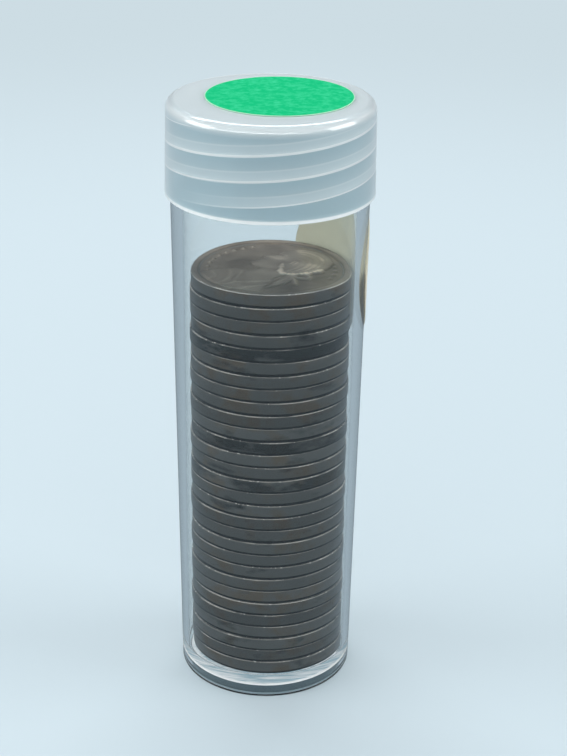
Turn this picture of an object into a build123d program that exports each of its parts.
from build123d import *
import os
from math import cos, hypot, radians, sin

# Screw-top coin tube: a clear moulded tube, a translucent screw cap, a round paper label on each,
# and the column of coins that the tube holds.
# Millimetres. +Z is up, the origin is the centre of the foot ring on the table,
# and the tube is looked at along +Y. The cap is screwed down and the coins lie on the floor.

# Coins: a full roll is what the tube is made for, and some coins are missing from it.
# The column's lean and the coins' scatter are shares of the clearance in the bore.
coin_diameter = 21.21
coin_thickness = 1.895
coin_rim_width = 1.05
coin_rim_slope = 0.20
coin_field_depth = 0.20
coin_edge_break = 0.15
coin_clearance = 0.50
roll_count = 40
missing_coins = 10
column_lean = 0.30
coin_scatter = 0.20
coin_turn_degrees = 137.5

# Tube
roll_room = 2.33
bore_spread = 0.24
floor_thickness = 1.62
floor_corner = 0.25
foot_height = 1.65
foot_width = 1.30
foot_edge = 0.40
foot_wall = 0.88
neck_wall = 0.70
neck_corner = 0.20
lip_edge = 0.20
shoulder_step = 0.92
shoulder_edge = 0.25

# Cap
cap_depth = 11.26
cap_wall = 1.02
cap_top = 1.10
cap_draft = 0.21
cap_crown_edge = 1.20
cap_inner_edge = 0.30
cap_rim_edge = 0.22
thread_room = 0.60
rim_gap = 0.25

# Paper labels
label_diameter = 19.05
label_thickness = 0.10
adhesive_thickness = 0.05
cap_label_right = 1.07
cap_label_back = 0.65
cap_adhesive_margin = 0.20
rear_label_drop = 1.35
rear_label_bearing_degrees = 60.0

# A rounding takes at most this share of the wall or step that it lies on.
largest_rounding = 0.40

# Levels and radii that follow from them
floor_top = foot_height + floor_thickness
lip_level = floor_top + roll_count * coin_thickness + roll_room
rim_level = lip_level - cap_depth
shoulder_level = rim_level - rim_gap
crown_level = lip_level + cap_top
coin_radius = coin_diameter / 2
bore_floor_radius = coin_radius + coin_clearance
bore_lip_radius = bore_floor_radius + bore_spread
foot_radius = bore_floor_radius + foot_wall
neck_radius = bore_lip_radius + neck_wall
shoulder_radius = neck_radius + shoulder_step
cap_mouth_radius = neck_radius + thread_room
cap_rim_radius = cap_mouth_radius + cap_wall
label_radius = label_diameter / 2


def turned(corners):
    """Solid turned about the axis; each corner of its profile is (radius, level, rounding)."""
    outline = Polyline([(radius, 0, level) for radius, level, rounding in corners], close=True)
    profile = make_face(outline)
    for radius, level, rounding in corners:
        if rounding > 0:
            corner = profile.vertices().sort_by_distance((radius, 0, level))[0]
            profile = fillet(corner, rounding)
    return revolve(profile, Axis.Z)


def tube():
    """Clear tube with a foot ring, a drafted bore, a tapered wall and a neck for the cap."""
    recess_radius = foot_radius - foot_width
    ring_rounding = min(foot_edge, largest_rounding * min(foot_width, foot_height))
    step_rounding = min(shoulder_edge, largest_rounding * shoulder_step)
    root_rounding = min(neck_corner, largest_rounding * shoulder_step)
    lip_rounding = min(lip_edge, largest_rounding * neck_wall)
    floor_rounding = min(floor_corner, coin_clearance / 2)
    return turned([
        (0, foot_height, 0),
        (recess_radius, foot_height, ring_rounding),
        (recess_radius, 0, ring_rounding),
        (foot_radius, 0, ring_rounding),
        (shoulder_radius, shoulder_level, step_rounding),
        (neck_radius, shoulder_level, root_rounding),
        (neck_radius, lip_level, lip_rounding),
        (bore_lip_radius, lip_level, lip_rounding),
        (bore_floor_radius, floor_top, floor_rounding),
        (0, floor_top, 0),
    ])


def cap():
    """Screw cap with a drafted skirt, a rounded crown and a flat top that seats on the lip."""
    inner_rounding = min(cap_inner_edge, thread_room - cap_draft)
    rim_rounding = min(cap_rim_edge, largest_rounding * cap_wall)
    return turned([
        (0, lip_level, 0),
        (cap_mouth_radius - cap_draft, lip_level, inner_rounding),
        (cap_mouth_radius, rim_level, rim_rounding),
        (cap_rim_radius, rim_level, rim_rounding),
        (cap_rim_radius - cap_draft, crown_level, cap_crown_edge),
        (0, crown_level, 0),
    ])


def cap_label_layers():
    """Round label stuck off centre on the crown, and the film under it, centred on the cap's axis."""
    off_centre = hypot(cap_label_right, cap_label_back)
    film_radius = label_radius - off_centre - cap_adhesive_margin
    film = Pos(0, 0, crown_level) * extrude(Circle(film_radius), adhesive_thickness)
    label_place = Pos(cap_label_right, cap_label_back, crown_level + adhesive_thickness)
    label = label_place * extrude(Circle(label_radius), label_thickness)
    return label, film


def rear_label_layers():
    """Round label wrapped on the tube's tapered wall just under the cap, and the film under it."""
    upper = shoulder_level - shoulder_edge - rear_label_drop
    lower = upper - label_diameter
    centre_level = upper - label_radius
    taper = (shoulder_radius - foot_radius) / shoulder_level
    wall_radius = foot_radius + taper * centre_level
    half_width = wall_radius * sin(label_radius / wall_radius)
    bearing = radians(rear_label_bearing_degrees)
    outwards = Plane((0, 0, centre_level), x_dir=(0, 0, 1), z_dir=(sin(bearing), cos(bearing), 0))
    punch = extrude(outwards * Ellipse(label_radius, half_width), 2 * shoulder_radius)

    def wrapped(inner, outer):
        sleeve = turned([
            (foot_radius + taper * lower + inner, lower, 0),
            (foot_radius + taper * lower + outer, lower, 0),
            (foot_radius + taper * upper + outer, upper, 0),
            (foot_radius + taper * upper + inner, upper, 0),
        ])
        return sleeve & punch

    film = wrapped(0, adhesive_thickness)
    label = wrapped(adhesive_thickness, adhesive_thickness + label_thickness)
    return label, film


def coin(index):
    """Plain-edged coin with a raised rim on both faces, lying on the coins under it."""
    rim_inner_radius = coin_radius - coin_rim_width
    rim_outer_radius = coin_radius - coin_edge_break
    field_radius = rim_inner_radius - coin_rim_slope
    blank = turned([
        (0, coin_field_depth, 0),
        (field_radius, coin_field_depth, 0),
        (rim_inner_radius, 0, 0),
        (rim_outer_radius, 0, 0),
        (coin_radius, coin_edge_break, 0),
        (coin_radius, coin_thickness - coin_edge_break, 0),
        (rim_outer_radius, coin_thickness, 0),
        (rim_inner_radius, coin_thickness, 0),
        (field_radius, coin_thickness - coin_field_depth, 0),
        (0, coin_thickness - coin_field_depth, 0),
    ])
    turn = radians(coin_turn_degrees * index)
    right = coin_clearance * (column_lean + coin_scatter * cos(turn))
    back = coin_clearance * coin_scatter * sin(turn)
    return Pos(right, back, floor_top + index * coin_thickness) * blank


cap_label, cap_label_adhesive = cap_label_layers()
rear_label, rear_label_adhesive = rear_label_layers()
pieces = {
    "tube": tube(),
    "rear_label": rear_label,
    "rear_label_adhesive": rear_label_adhesive,
    "cap": cap(),
    "cap_label": cap_label,
    "cap_label_adhesive": cap_label_adhesive,
}
for index in range(roll_count - missing_coins):
    pieces[f"coin_{index + 1:02d}"] = coin(index)

os.makedirs("parts", exist_ok=True)
for name, piece in pieces.items():
    export_step(piece, f"parts/{name}.step")
